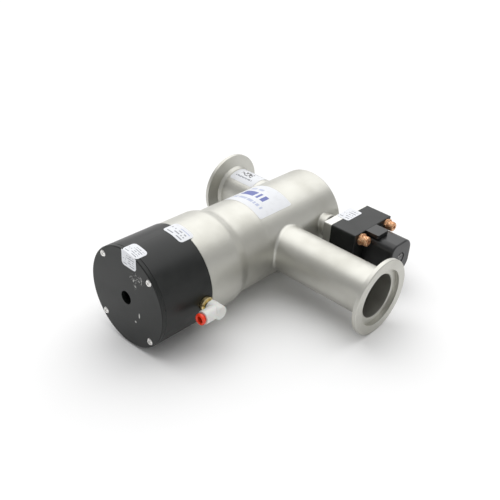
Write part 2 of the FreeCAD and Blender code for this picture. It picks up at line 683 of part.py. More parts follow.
def lead_grommet():
    base = Vector(CORE_X, (COIL_BACK_Y + COIL_END_Y) / 2 - 5.0, COIL_Z[0])
    return turned([
        (0, 1.4), (0, 4.0), (1.5, 4.0), (2.2, 3.0), (4.5, 3.0), (4.5, 1.4)], base, -Z_AXIS)


# ---- stickers -----------------------------------------------------------------
def cap_label():
    """A sticker folded from the end face over the edge of the cap."""
    width = (-11.2, 2.6)
    sheet = box((-LABEL, 0), width, (24.8, BARREL_R + 2))
    sheet = sheet.makeFillet(2.6, [
        e for e in sheet.Edges
        if abs(e.tangentAt(e.FirstParameter).x) > 0.9 and e.CenterOfMass.z < 25.0])
    sheet = sheet.common(rod(BARREL_R + LABEL, Vector(-1, 0, 0), X_AXIS, 4.0))
    return sheet.fuse(wrapped_label((-LABEL, 10.2), (72.0, 94.2), BARREL_R, 2.6)).removeSplitter()


def inlet_label():
    """A sticker round the top of the inlet tube."""
    sheet = wrapped_label((34.5, 59.0), (62.0, 125.0), PORT_R)
    sheet.rotate(Vector(), Z_AXIS, 90.0)
    sheet.translate(X_AXIS * INLET_X)
    return sheet


def vent_label():
    ends = (FACE_PLATE_Y - 0.3, VENT_LABEL_END_Y)
    sheet = box(VENT_LABEL_X, ends, (BLOCK_Z[1], BLOCK_Z[1] + LABEL))
    return rounded(
        sheet, 1.8, lambda c: abs(c.z - BLOCK_Z[1] - LABEL / 2) < 0.01
        and min(abs(c.x - x) for x in VENT_LABEL_X) < 0.01
        and min(abs(c.y - y) for y in ends) < 0.01)


def parts():
    lap = BONNET_START + CARRIER_THICKNESS
    back = STEM_SHOULDER - PISTON_LENGTH
    yield "end_cap", end_cap()
    yield "tie_screws", tie_screws()
    yield "end_cap_o_ring", o_ring(CYLINDER_R - 0.8, 0.7, Vector(CAP_THICKNESS + 1.45, 0, 0))
    yield "cylinder_barrel", cylinder_barrel()
    yield "base_o_ring", o_ring(12.1, 0.65, Vector(BONNET_START - 0.65, 0, 0))
    yield "rod_seal", along_x(7.95, STEM_R + RUNNING, BASE_START + 0.8, BASE_START + 3.3)
    yield "stem_bushing", along_x(8.0, STEM_R + RUNNING, BASE_START + 3.4, lap + 2.5)
    yield "bellows_carrier", bellows_carrier()
    yield "bonnet_o_ring", o_ring(27.9, 0.65, Vector(lap + 0.65, 0, 0))
    yield "bonnet", bonnet()
    yield "weld_seam", along_x(TUBE_R - SEAM_DEPTH, TUBE_BORE_R + 0.2, BONNET_END, TUBE_START)
    yield "body_tube", body_tube()
    yield "body_end_plate", along_x_disc(TUBE_BORE_R, TUBE_END - PLATE_RECESS - PLATE_THICKNESS)
    yield "seat_plate", seat_plate()
    yield "outlet_tube", port_tube(OUTLET_X, OUTLET_FACE_Y)
    yield "outlet_flange", flange(Vector(OUTLET_X, OUTLET_FACE_Y, 0), Y_AXIS)
    yield "inlet_tube", port_tube(INLET_X, INLET_FACE_Y)
    yield "inlet_flange", flange(Vector(INLET_X, INLET_FACE_Y, 0), -Y_AXIS)
    yield "stem", stem()
    yield "piston", piston()
    yield "piston_seal", piston_ring(25.0, 2.1, 4.3)
    yield "piston_wear_ring", piston_ring(26.0, 5.3, 7.1)
    yield "piston_nut", hexagon(NUT_FLATS, Vector(back, 0, 0), -X_AXIS, NUT_THICKNESS, STEM_THREAD_R)
    yield "bellows_end_ring", bellows_end_ring()
    yield "poppet", poppet()
    yield "poppet_seal", o_ring(
        POPPET_SEAL_R, POPPET_SEAL_SECTION, Vector(POPPET_FACE - POPPET_SEAL_SECTION + 0.45, 0, 0))
    yield "poppet_screw", poppet_screw()
    yield "bellows", bellows()
    yield "return_spring", coil_spring(SPRING_R, SPRING_WIRE_R, lap, BELLOWS_END, SPRING_TURNS)
    yield "elbow_adapter", elbow_adapter()
    yield "swivel_o_ring", o_ring(
        ADAPTER_GROOVE_R + 0.5, 0.5, Vector(ELBOW_X, HUB_START_Y - 2.2, ELBOW_Z), Y_AXIS)
    yield "elbow_body", elbow_body()
    mouth = Vector(LEG_END_X, LEG_Y, ELBOW_Z)
    yield "grab_ring", ring(RING_POCKET_R, TUBE_GRIP_R, mouth + X_AXIS * 3.8, X_AXIS, 0.4)
    yield "tube_seal", ring(RING_POCKET_R, TUBE_GRIP_R, mouth + X_AXIS * 4.4, X_AXIS, 1.8)
    yield "release_collet", release_collet()
    yield "vent_boss", vent_boss()
    vent = Vector(VENT_X, FACE_PLATE_Y, VENT_Z)
    yield "vent_gasket", ring(6.5, 3.2, vent, Y_AXIS, GASKET)
    yield "vent_adapter_plate", vent_adapter_plate()
    yield "vent_plate_o_ring", o_ring(4.0, 0.65, Vector(VENT_X, BLOCK_BACK_Y + 0.65, VENT_Z), Y_AXIS)
    yield "vent_valve_body", vent_valve_body()
    yield "vent_screws", vent_screws()
    yield "breather_left", breather(BREATHER_X[0])
    yield "breather_right", breather(BREATHER_X[1])
    yield "core_tube", core_tube()
    yield "fixed_core", fixed_core()
    yield "plunger", plunger()
    yield "plunger_seal", plunger_seal()
    yield "plunger_spring", coil_spring(
        1.6, 0.35, 0.0, 6.0, 5, -Y_AXIS, Vector(CORE_X, BLOCK_FACE_Y - 6.6, CORE_Z))
    yield "coil_yoke", coil_yoke()
    yield "coil_housing", coil_housing()
    yield "coil_winding", coil_winding()
    yield "coil_nut", coil_nut()
    yield "lead_grommet", lead_grommet()
    yield "cap_label", cap_label()
    yield "barrel_label", wrapped_label((34.0, 46.3), (68.0, 97.0), BARREL_R, 2.5)
    yield "body_label", wrapped_label((TUBE_START + 0.6, 136.7), (55.0, 125.0), TUBE_R)
    yield "inlet_label", inlet_label()
    yield "vent_label", vent_label()


def along_x_disc(radius, start):
    return rod(radius, Vector(start, 0, 0), X_AXIS, PLATE_THICKNESS)


def main():
    os.makedirs("parts", exist_ok=True)
    origin = Vector(OUTLET_X, OUTLET_FACE_Y, 0)
    for name, shape in parts():
        shape.translate(-origin)
        shape.exportStep(os.path.join("parts", name + ".step"))


main()
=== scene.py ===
import logging
import math
from dataclasses import dataclass
from enum import Enum
from typing import Callable, Optional, Sequence, Union

import bmesh
import bpy
import numpy as np
from mathutils import Matrix, Vector


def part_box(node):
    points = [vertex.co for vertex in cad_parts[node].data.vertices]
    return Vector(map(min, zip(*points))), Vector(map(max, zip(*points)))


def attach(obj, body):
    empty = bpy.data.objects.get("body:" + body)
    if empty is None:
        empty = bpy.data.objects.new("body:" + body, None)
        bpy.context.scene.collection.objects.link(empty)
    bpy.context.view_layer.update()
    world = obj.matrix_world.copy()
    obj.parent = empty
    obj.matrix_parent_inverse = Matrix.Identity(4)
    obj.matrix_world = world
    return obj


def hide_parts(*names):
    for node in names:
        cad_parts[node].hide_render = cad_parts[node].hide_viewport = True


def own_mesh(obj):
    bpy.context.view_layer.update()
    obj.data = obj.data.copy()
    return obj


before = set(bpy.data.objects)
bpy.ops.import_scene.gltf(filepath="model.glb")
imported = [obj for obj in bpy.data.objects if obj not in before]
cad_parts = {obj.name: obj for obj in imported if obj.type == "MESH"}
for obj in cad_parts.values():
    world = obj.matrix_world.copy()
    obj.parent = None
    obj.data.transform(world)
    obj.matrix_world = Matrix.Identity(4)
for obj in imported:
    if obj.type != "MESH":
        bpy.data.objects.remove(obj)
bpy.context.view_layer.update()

log = logging.getLogger("vacuum_valve")

MM = 0.001
SAME_POINT = 1e-7   # corners closer than this are one
Colour = tuple[float, float, float]
Point = tuple[float, float, float]
BODY_AXIS: Point = (0.0, 0.1111, 0.0)


class Axis(Enum):
    """The three directions of the row frame."""

    X = (1.0, 0.0, 0.0)
    Y = (0.0, 1.0, 0.0)
    Z = (0.0, 0.0, 1.0)

    @property
    def across(self) -> tuple[int, int]:
        """The indices of the two directions at right angles to this one."""
        return {"X": (1, 2), "Y": (0, 2), "Z": (0, 1)}[self.name]

    @property
    def along(self) -> int:
        """The index of this direction."""
        return "XYZ".index(self.name)


# Shader building


class Value:
    """A number socket that takes part in arithmetic."""

    def __init__(self, tree: "ShaderTree", socket: bpy.types.NodeSocket) -> None:
        """Wrap one output socket of a shader tree."""
        self.tree = tree
        self.socket = socket

    def __add__(self, other: "Number") -> "Value":
        """Sum."""
        return self.tree.math("ADD", self, other)

    __radd__ = __add__

    def __sub__(self, other: "Number") -> "Value":
        """Difference."""
        return self.tree.math("SUBTRACT", self, other)

    def __rsub__(self, other: "Number") -> "Value":
        """Difference with this value taken away."""
        return self.tree.math("SUBTRACT", other, self)

    def __mul__(self, other: "Number") -> "Value":
        """Product."""
        return self.tree.math("MULTIPLY", self, other)

    __rmul__ = __mul__

    def __truediv__(self, other: "Number") -> "Value":
        """Quotient."""
        return self.tree.math("DIVIDE", self, other)

    def __rtruediv__(self, other: "Number") -> "Value":
        """Quotient with this value below the line."""
        return self.tree.math("DIVIDE", other, self)

    def __gt__(self, other: "Number") -> "Value":
        """1 where this value is the larger."""
        return self.tree.math("GREATER_THAN", self, other)

    def __lt__(self, other: "Number") -> "Value":
        """1 where this value is the smaller."""
        return self.tree.math("LESS_THAN", self, other)

    def between(self, low: "Number", high: "Number") -> "Value":
        """1 where this value lies between two others."""
        return (self > low) * (self < high)

    def soft(self, low: float, high: float) -> "Value":
        """A smooth step.

        Args:
            low: where it is still 0.
            high: where it has reached 1.

        Returns:
            The step.
        """
        step = self.tree.node(
            "ShaderNodeMapRange", {"interpolation_type": "SMOOTHSTEP", "clamp": True},
            {"Value": self, "From Min": low, "From Max": high})
        return Value(self.tree, step.outputs["Result"])


Number = Union[float, Value]
Plug = Union[float, Sequence[float], Value, bpy.types.NodeSocket]


class ShaderTree:
    """One node material under construction."""

    MIX_SHARE, MIX_LOW, MIX_HIGH, MIX_RESULT = 0, 6, 7, 2   # a colour mix's sockets

    def __init__(self, name: str) -> None:
        """Start an empty material.

        Args:
            name: the finish it is for.
        """
        self.material = bpy.data.materials.new(name)
        self.material.use_nodes = True
        self.links = self.material.node_tree.links
        self.nodes = self.material.node_tree.nodes
        self.nodes.clear()

    def node(self, kind: str, settings: dict[str, object],
             sockets: dict[Union[str, int], Plug]) -> bpy.types.Node:
        """Add a node.

        Args:
            kind: the node's type.
            settings: its properties, set first.
            sockets: values or links of its inputs, by name or index.

        Returns:
            The node.
        """
        made = self.nodes.new(kind)
        for key, value in settings.items():
            setattr(made, key, value)
        for key, value in sockets.items():
            target = made.inputs[key]
            if isinstance(value, (Value, bpy.types.NodeSocket)):
                self.links.new(getattr(value, "socket", value), target)
            elif target.type == "RGBA" and len(value) == 3:
                target.default_value = (*value, 1.0)
            else:
                target.default_value = value
        return made

    def math(self, operation: str, *inputs: Number) -> Value:
        """Add one Math node and return its result."""
        made = self.node("ShaderNodeMath", {"operation": operation}, dict(enumerate(inputs)))
        return Value(self, made.outputs[0])

    def place(self) -> bpy.types.NodeSocket:
        """The point being shaded, in the row frame, in metres."""
        return self.node("ShaderNodeTexCoord", {}, {}).outputs["Object"]

    def split(self, vector: bpy.types.NodeSocket) -> list[Value]:
        """The three coordinates of a vector."""
        parts = self.node("ShaderNodeSeparateXYZ", {}, {"Vector": vector})
        return [Value(self, out) for out in parts.outputs]

    def joined(self, x: Number, y: Number, z: Number) -> bpy.types.NodeSocket:
        """A vector from three numbers."""
        made = self.node("ShaderNodeCombineXYZ", {}, {0: x, 1: y, 2: z})
        return made.outputs[0]

    def noise(self, size: float, detail: float = 2.0, vector: Optional[Plug] = None,
              rough: float = 0.5) -> Value:
        """Smooth noise.

        Args:
            size: the width of a blotch in metres, or in the vector's own unit.
            detail: how many finer layers it has.
            vector: where to read it; the shaded point if left out.
            rough: how strong the finer layers are.

        Returns:
            A value around 0.5.
        """
        made = self.node("ShaderNodeTexNoise", {"noise_dimensions": "3D"}, {
            "Vector": vector if vector is not None else self.place(),
            "Scale": 1.0 / size, "Detail": detail, "Roughness": rough,
        })
        return Value(self, made.outputs["Fac"])

    def cells(self, size: float) -> Value:
        """Distance to the nearest grain centre of a random packing.

        Args:
            size: the width of a grain in metres.

        Returns:
            The distance, in grain widths.
        """
        made = self.node("ShaderNodeTexVoronoi", {"voronoi_dimensions": "3D", "feature": "F1"},
                         {"Vector": self.place(), "Scale": 1.0 / size})
        return Value(self, made.outputs["Distance"])

    def chance(self, vector: Plug) -> Value:
        """A random number for each distinct vector."""
        made = self.node("ShaderNodeTexWhiteNoise", {"noise_dimensions": "3D"}, {"Vector": vector})
        return Value(self, made.outputs["Value"])

    def mixed(self, share: Number, low: Plug, high: Plug) -> bpy.types.NodeSocket:
        """A colour between two others.

        Args:
            share: 0 gives low and 1 gives high.
            low: one colour.
            high: the other colour.

        Returns:
            The colour's socket.
        """
        made = self.node(
            "ShaderNodeMix", {"data_type": "RGBA", "clamp_factor": True},
            {self.MIX_SHARE: share, self.MIX_LOW: low, self.MIX_HIGH: high})
        return made.outputs[self.MIX_RESULT]

    def bump(self, height: Value, depth: float, strength: float = 1.0,
             under: Optional[Plug] = None) -> bpy.types.NodeSocket:
        """A surface relief.

        Args:
            height: from 0 to 1.
            depth: metres from 0 to 1.
            strength: how much of it shows.
            under: another relief that this one lies on.

        Returns:
            The normal's socket.
        """
        sockets: dict[str, Plug] = {"Height": height, "Distance": depth, "Strength": strength}
        if under is not None:
            sockets["Normal"] = under
        return self.node("ShaderNodeBump", {}, sockets).outputs["Normal"]

    def around(self, axis: Axis, centre: Point) -> tuple[Value, Value, Value]:
        """Cylindrical coordinates.

        Args:
            axis: the direction of the cylinder.
            centre: a point on its axis, in metres.

        Returns:
            The distance along the axis, the radius and the angle in radians.
        """
        spots = self.split(self.place())
        i, j = axis.across
        a, b = spots[i] - centre[i], spots[j] - centre[j]
        return spots[axis.along], self.math("SQRT", a * a + b * b), self.math("ARCTAN2", b, a)

    def finish(self, **sockets: Plug) -> None:
        """Add the surface shader and the output.

        Args:
            **sockets: the shader's inputs, with _ for a space.
        """
        named = {key.replace("_", " "): value for key, value in sockets.items()}
        shader = self.node("ShaderNodeBsdfPrincipled", {}, named)
        self.node("ShaderNodeOutputMaterial", {}, {"Surface": shader.outputs[0]})


# Finishes


@dataclass(frozen=True)
class Finish:
    """A surface finish; each kind paints its own shader."""

    name: str

    def paint(self, tree: ShaderTree) -> None:
        """Fill a shader tree with this finish."""
        raise NotImplementedError

    def material(self) -> bpy.types.Material:
        """Build the finish's material.

        Returns:
            The material.
        """
        tree = ShaderTree(self.name)
        self.paint(tree)
        return tree.material


@dataclass(frozen=True)
class BlastedSteel(Finish):
    """Bead-blasted stainless steel with faint handling marks."""

    colour: Colour = (0.545, 0.540, 0.500)
    shade: Colour = (0.430, 0.422, 0.380)
    roughness: float = 0.43
    grain: float = 0.22 * MM
    relief: float = 0.03 * MM
    smear: float = 35.0 * MM
    rub: float = 6.0 * MM
    rub_relief: float = 0.06 * MM

    def paint(self, tree: ShaderTree) -> None:
        """Mottled warm grey over a fine peened relief.

        Args:
            tree: the shader tree to fill.
        """
        smear = tree.noise(self.smear, 4.0).soft(0.42, 0.72)
        grain = tree.noise(self.grain, 2.0)
        rubbed = tree.noise(self.rub, 3.0, rough=0.6)
        colour = tree.mixed(smear * 0.55, self.colour, self.shade)
        colour = tree.mixed((grain - 0.5) * 0.35, colour, self.shade)
        rough = self.roughness + (rubbed - 0.5) * 0.12 + smear * 0.05
        peened = tree.bump(grain, self.relief, 0.6)
        tree.finish(
            Base_Color=colour, Metallic=1.0, Roughness=rough,
            Normal=tree.bump(rubbed, self.rub_relief, 0.25, peened))


@dataclass(frozen=True)
class TurnedMetal(Finish):
    """Bare metal with the fine rings that a lathe leaves."""

    colour: Colour = (0.66, 0.65, 0.62)
    shade: Colour = (0.55, 0.54, 0.51)
    roughness: float = 0.28
    axis: Axis = Axis.X
    centre: Point = BODY_AXIS
    pitch: float = 0.25 * MM
    stain: float = 12.0 * MM
    stained: float = 0.4
    matt: float = 0.1
    relief: float = 0.02 * MM

    def marks(self, tree: ShaderTree) -> Value:
        """Rings both along the axis and across the end faces."""
        along, radius, angle = tree.around(self.axis, self.centre)
        return tree.noise(
            1.0, 2.0, tree.joined(along / self.pitch, radius / self.pitch, angle * 0.35))

    def paint(self, tree: ShaderTree) -> None:
        """Tool marks under a soft stain.

        Args:
            tree: the shader tree to fill.
        """
        marks = self.marks(tree)
        stain = tree.noise(self.stain, 3.0).soft(0.45, 0.75)
        colour = tree.mixed(marks * 0.5 + stain * self.stained, self.colour, self.shade)
        tree.finish(
            Base_Color=colour, Metallic=1.0, Roughness=self.roughness + marks * self.matt,
            Normal=tree.bump(marks, self.relief, 0.5))


@dataclass(frozen=True)
class MilledMetal(TurnedMetal):
    """A machined block with long straight tool marks."""

    colour: Colour = (0.66, 0.66, 0.63)
    shade: Colour = (0.54, 0.54, 0.51)
    roughness: float = 0.34
    stain: float = 8.0 * MM
    stained: float = 0.35
    matt: float = 0.12
    stretch: float = 6.0 * MM

    def marks(self, tree: ShaderTree) -> Value:
        """Thin streaks along X."""
        x, y, z = tree.split(tree.place())
        return tree.noise(
            1.0, 2.0, tree.joined(x / self.stretch, y / self.pitch, z / self.pitch))


@dataclass(frozen=True)
class Scuff:
    """A rubbed patch on an end face.

    Args:
        y: its middle across.
        z: its middle up.
        reach: how far it goes each way.
        amount: how much of the finish is gone.
        solid: whether it is one bright nick and not a spread of chips.
    """

    y: float
    z: float
    reach: tuple[float, float]
    amount: float
    solid: bool = False


@dataclass(frozen=True)
class BlackAnodised(Finish):
    """Black anodised aluminium with turning marks, a dusty bloom and scuffs."""

    colour: Colour = (0.0075, 0.0085, 0.0082)
    bloom: Colour = (0.020, 0.022, 0.021)
    bare: Colour = (0.55, 0.55, 0.53)
    roughness: float = 0.33
    gloss: float = 0.34
    turned: bool = True
    centre: Point = BODY_AXIS
    scuffs: tuple[Scuff, ...] = ()
    face_depth: float = 0.6 * MM
    face: float = 0.0
    pitch: float = 0.2 * MM
    grain: float = 0.3 * MM
    patch: float = 18.0 * MM
    speck: float = 0.7 * MM
    chip: float = 1.1 * MM
    relief: float = 0.02 * MM

    def paint(self, tree: ShaderTree) -> None:
        """Dark oxide, a grey bloom and chipped spots inside the scuffed patches.

        Args:
            tree: the shader tree to fill.
        """
        along, radius, angle = tree.around(Axis.X, self.centre)
        if self.turned:
            lines = tree.noise(
                1.0, 2.0, tree.joined(along / self.pitch, radius / self.pitch, angle * 0.25))
        else:
            lines = tree.noise(self.grain, 2.0)
        bloom = tree.noise(self.patch, 4.0).soft(0.45, 0.8)
        speck = tree.noise(self.speck, 3.0, rough=0.7)
        colour = tree.mixed(bloom * 0.5 + (lines - 0.5) * 0.2, self.colour, self.bloom)
        worn: Number = speck.soft(0.745, 0.775) * 0.5
        if self.scuffs:
            x, y, z = tree.split(tree.place())
            near = x < self.face + self.face_depth
            chips = tree.noise(self.chip, 5.0, rough=0.72)
            for scuff in self.scuffs:
                dy, dz = (y - scuff.y) / scuff.reach[0], (z - scuff.z) / scuff.reach[1]
                far = tree.math("SQRT", dy * dy + dz * dz)
                patch = 1.0 - far.soft(0.35 if scuff.solid else 0.1, 1.0)
                if not scuff.solid:
                    patch = (chips + patch * 0.14).soft(0.665, 0.70) * patch.soft(0.0, 0.3)
                worn = worn + patch * near * scuff.amount
        colour = tree.mixed(worn, colour, self.bare)
        tree.finish(
            Base_Color=colour, Roughness=self.roughness + lines * 0.08 + bloom * 0.1,
            Specular_IOR_Level=self.gloss,
            Normal=tree.bump(lines, self.relief, 0.35))


@dataclass(frozen=True)
class BrightSteel(Finish):
    """Polished fasteners with small tool scratches."""

    colour: Colour = (0.80, 0.79, 0.77)
    roughness: float = 0.16
    shade: Colour = (0.60, 0.59, 0.57)
    handled: float = 1.8 * MM
    scratch: float = 0.3 * MM
    relief: float = 0.01 * MM

    def paint(self, tree: ShaderTree) -> None:
        """Bright metal, a little dull where it was handled.

        Args:
            tree: the shader tree to fill.
        """
        dull = tree.noise(self.handled, 3.0).soft(0.45, 0.7)
        colour = tree.mixed(dull * 0.5, self.colour, self.shade)
        tree.finish(
            Base_Color=colour, Metallic=1.0, Roughness=self.roughness + dull * 0.22,
            Normal=tree.bump(tree.noise(self.scratch, 2.0), self.relief, 0.5))


@dataclass(frozen=True)
class Rubber(Finish):
    """Matt moulded rubber."""

    colour: Colour = (0.018, 0.018, 0.018)
    chalk: Colour = (0.05, 0.05, 0.05)
    film: float = 3.0 * MM
    grain: float = 0.3 * MM
    relief: float = 0.02 * MM

    def paint(self, tree: ShaderTree) -> None:
        """Near black with a chalky film.

        Args:
            tree: the shader tree to fill.
        """
        film = tree.noise(self.film, 3.0).soft(0.45, 0.8)
        colour = tree.mixed(film * 0.6, self.colour, self.chalk)
        tree.finish(
            Base_Color=colour, Roughness=0.55 + film * 0.25,
            Normal=tree.bump(tree.noise(self.grain, 2.0), self.relief, 0.4))


@dataclass(frozen=True)
class MouldedPlastic(Finish):
    """Injection-moulded plastic."""

    colour: Colour = (0.8, 0.8, 0.8)
    shade: Colour = (0.7, 0.7, 0.7)
    roughness: float = 0.3
    grain: float = 0.4 * MM
    relief: float = 0.01 * MM
    subsurface: float = 0.0
    flow: float = 6.0 * MM
    light_depth: float = 1.5 * MM

    def paint(self, tree: ShaderTree) -> None:
        """Even colour with flow marks and a light mould texture.

        Args:
            tree: the shader tree to fill.
        """
        flow = tree.noise(self.flow, 3.0).soft(0.35, 0.75)
        grain = tree.noise(self.grain, 2.0)
        colour = tree.mixed(flow * 0.7 + (grain - 0.5) * 0.2, self.colour, self.shade)
        tree.finish(
            Base_Color=colour, Roughness=self.roughness + (grain - 0.5) * 0.15 + flow * 0.05,
            Normal=tree.bump(grain, self.relief, 0.6),
            Subsurface_Weight=self.subsurface, Subsurface_Scale=self.light_depth)


@dataclass(frozen=True)
class SinteredBronze(Finish):
    """Fused metal granules."""

    colour: Colour = (0.80, 0.42, 0.22)
    # shade is the colour of the painted shade between the grains; bright is partly the metal's own
    # tone and partly a painted highlight
    shade: Colour = (0.30, 0.12, 0.06)
    bright: Colour = (0.95, 0.68, 0.42)
    grain: float = 0.55 * MM
    tone: float = 1.2 * MM
    relief: float = 0.2 * MM

    def paint(self, tree: ShaderTree) -> None:
        """Round grains with painted shade in the gaps between them, and lighter yellow patches that
        are partly the metal's own tone and partly painted highlights.

        Args:
            tree: the shader tree to fill.
        """
        far = tree.cells(self.grain)
        # painted shade mask: the gaps between the grains, where the cell distance is large
        painted_gap_shade = far.soft(0.35, 0.75)
        tone = tree.noise(self.tone, 2.0).soft(0.4, 0.7)
        # lighter yellow patches at random: partly the metal's own tone, partly painted highlights
        colour = tree.mixed(tone, self.colour, self.bright)
        # painted shade laid into the gaps between the grains
        colour = tree.mixed(painted_gap_shade * 0.8, colour, self.shade)
        tree.finish(
            Base_Color=colour, Metallic=0.85, Roughness=0.38 + painted_gap_shade * 0.25,
            Normal=tree.bump(1.0 - far, self.relief, 0.8))


@dataclass(frozen=True)
class WoundCopper(Finish):
    """Enamelled wire in close turns."""

    wire: float = 0.35 * MM
    # painted shade colour for the gaps between turns and painted highlight colour for their crowns
    painted_gap_shade: Colour = (0.35, 0.10, 0.04)
    crown: Colour = (0.78, 0.34, 0.16)
    relief: float = 0.1 * MM

    def paint(self, tree: ShaderTree) -> None:
        """Rounded turns side by side, with painted shade in the gaps and a painted highlight along
        each crown.

        Args:
            tree: the shader tree to fill.
        """
        _, y, _ = tree.split(tree.place())
        turn = tree.math("SINE", y * (math.tau / self.wire))
        # painted shade between the turns and painted highlight on their tops, following the wire's
        # wave
        colour = tree.mixed(turn * 0.5 + 0.5, self.painted_gap_shade, self.crown)
        tree.finish(
            Base_Color=colour, Metallic=0.9, Roughness=0.3,
            Normal=tree.bump(turn * 0.5 + 0.5, self.relief, 0.8))


class Print(Enum):
    """What a sticker shows. No pattern holds letters, only plain bars and blocks."""

    SMALL_LINES = "small lines"
    HEADED_LINES = "headed lines"
    NAMEPLATE = "nameplate"
    CODE_BLOCK = "code block"


@dataclass(frozen=True)
class Bar:
    """A row of blocks from low to high, in shares of the sticker's width and height."""

    low: tuple[float, float]
    high: tuple[float, float]
    blocks: float   # half the number of places across the sticker
    cover: float    # the share of places that hold ink
    ink: Colour


INK_GREY: Colour = (0.22, 0.23, 0.26)
INK_DARK: Colour = (0.03, 0.03, 0.035)
INK_BLUE: Colour = (0.05, 0.08, 0.36)
INK_PALE: Colour = (0.42, 0.46, 0.62)

PRINTS: dict[Print, tuple[Bar, ...]] = {
    Print.SMALL_LINES: tuple(
        Bar((0.14 + 0.155 * row, 0.12), (0.195 + 0.155 * row, 0.90 - 0.13 * (row % 2)),
            8.0 + 0.7 * row, 0.60, INK_GREY)
        for row in range(5)
    ),
    Print.HEADED_LINES: (
        Bar((0.14, 0.10), (0.22, 0.86), 9.0, 0.62, INK_GREY),
        Bar((0.34, 0.10), (0.42, 0.66), 8.0, 0.62, INK_GREY),
        Bar((0.54, 0.10), (0.62, 0.90), 9.5, 0.62, INK_GREY),
        Bar((0.74, 0.10), (0.80, 0.58), 8.5, 0.62, INK_PALE),
    ),
    Print.NAMEPLATE: (
        Bar((0.40, 0.30), (0.62, 0.86), 9.0, 0.66, INK_BLUE),
        Bar((0.18, 0.18), (0.27, 0.88), 23.0, 0.74, INK_PALE),
        Bar((0.72, 0.55), (0.80, 0.86), 9.0, 0.74, INK_PALE),
    ),
    Print.CODE_BLOCK: (
        Bar((0.20, 0.30), (0.66, 0.62), 7.0, 0.50, INK_DARK),
        Bar((0.12, 0.74), (0.90, 0.82), 19.0, 0.70, INK_GREY),
        Bar((0.12, 0.12), (0.80, 0.20), 15.0, 0.70, INK_GREY),
    ),
}


@dataclass(frozen=True)
class Sticker(Finish):
    """A white printed label on a curved or a flat surface.

    Args:
        axis: the axis of the surface it is wrapped round; Z means that it lies flat.
        centre: a point on that axis.
        u: the label's limits along its reading direction, in metres or radians.
        v: its limits the other way.
        pattern: what it shows.
        fold: whether it is folded down over the end face at its start.
        fold_corner: where the folded part starts, up and across from the centre.
        fold_size: how far it goes, up and across.
    """

    axis: Axis = Axis.X
    centre: Point = BODY_AXIS
    u: tuple[float, float] = (0.0, 1.0)
    v: tuple[float, float] = (0.0, 1.0)
    pattern: Print = Print.SMALL_LINES
    paper: Colour = (0.74, 0.755, 0.785)
    fold: bool = False
    fold_depth: float = 0.16 * MM
    fold_corner: tuple[float, float] = (24.8 * MM, -11.2 * MM)
    fold_size: tuple[float, float] = (10.7 * MM, 13.8 * MM)
    dirt: Colour = (0.55, 0.55, 0.56)
    blot: float = 4.0 * MM
    wave: float = 1.5 * MM
    relief: float = 0.04 * MM

    def paint(self, tree: ShaderTree) -> None:
        """White paper, blocks of ink and a little grime.

        Args:
            tree: the shader tree to fill.
        """
        if self.axis is Axis.Z:
            first, second, _ = tree.split(tree.place())
        else:
            first, _, second = tree.around(self.axis, self.centre)
        u = (first - self.u[0]) / (self.u[1] - self.u[0])
        v = (second - self.v[0]) / (self.v[1] - self.v[0])
        if self.fold:
            x, y, z = tree.split(tree.place())
            front = x < self.u[0] + self.fold_depth
            flat_u = (z - self.fold_corner[0]) / self.fold_size[0]
            flat_v = (y - self.centre[1] - self.fold_corner[1]) / self.fold_size[1]
            u = u * (1.0 - front) + flat_u * front
            v = v * (1.0 - front) + flat_v * front
        grime = tree.noise(self.blot, 4.0).soft(0.5, 0.85)
        colour = tree.mixed(grime * 0.35, self.paper, self.dirt)
        for index, bar in enumerate(PRINTS[self.pattern]):
            inside = u.between(bar.low[0], bar.high[0]) * v.between(bar.low[1], bar.high[1])
            cell = tree.math("FLOOR", v * bar.blocks * 2.0)
            rows = bar.blocks * 2.0 if self.pattern is Print.CODE_BLOCK else 1.0
            row = tree.math("FLOOR", u * rows)
            ink = tree.chance(tree.joined(cell, row, float(index))) < bar.cover
            colour = tree.mixed(inside * ink * 0.92, colour, bar.ink)
        tree.finish(
            Base_Color=colour, Roughness=0.38 + grime * 0.2,
            Normal=tree.bump(tree.noise(self.wave, 2.0), self.relief, 0.3))


@dataclass(frozen=True)
class PaleFloor(Finish):
    """The studio table."""

    colour: Colour = (0.90, 0.90, 0.90)
    shade: Colour = (0.87, 0.87, 0.87)
    cloud: float = 0.8

    def paint(self, tree: ShaderTree) -> None:
        """Plain pale paper.

        Args:
            tree: the shader tree to fill.
        """
        tone = tree.noise(self.cloud, 2.0)
        colour = tree.mixed(tone * 0.2, self.colour, self.shade)
        tree.finish(Base_Color=colour, Roughness=0.9)


# Meshes


def mesh_object(name: str, points: Sequence[Sequence[float]],
                faces: Sequence[Sequence[int]], sharp: float = 35.0) -> bpy.types.Object:
    """Make a smooth-shaded object from points and faces.

    Args:
        name: the piece's name.
        points: corners in metres, in the row frame.
        faces: corner indices of each face.
        sharp: edges that turn by more than this many degrees stay sharp.

    Returns:
        The object, linked to the scene.
    """
    mesh = bpy.data.meshes.new(name)
    mesh.from_pydata([tuple(p) for p in points], [], [tuple(f) for f in faces])
    build = bmesh.new()
    build.from_mesh(mesh)
    bmesh.ops.remove_doubles(build, verts=build.verts, dist=SAME_POINT)
    bmesh.ops.recalc_face_normals(build, faces=build.faces)
    build.to_mesh(mesh)
    build.free()
    mesh.shade_smooth()
    mesh.set_sharp_from_angle(angle=math.radians(sharp))
    made = bpy.data.objects.new(name, mesh)
    bpy.context.scene.collection.objects.link(made)
    return made


def band(first: int, second: int, size: int) -> list[tuple[int, int, int, int]]:
    """The faces between two rings of points.

    Args:
        first: the index of one ring's first point.
        second: the index of the other ring's first point.
        size: how many points a ring has.

    Returns:
        The corner indices of each face.
    """
    return [(first + j, first + (j + 1) % size, second + (j + 1) % size, second + j)
            for j in range(size)]


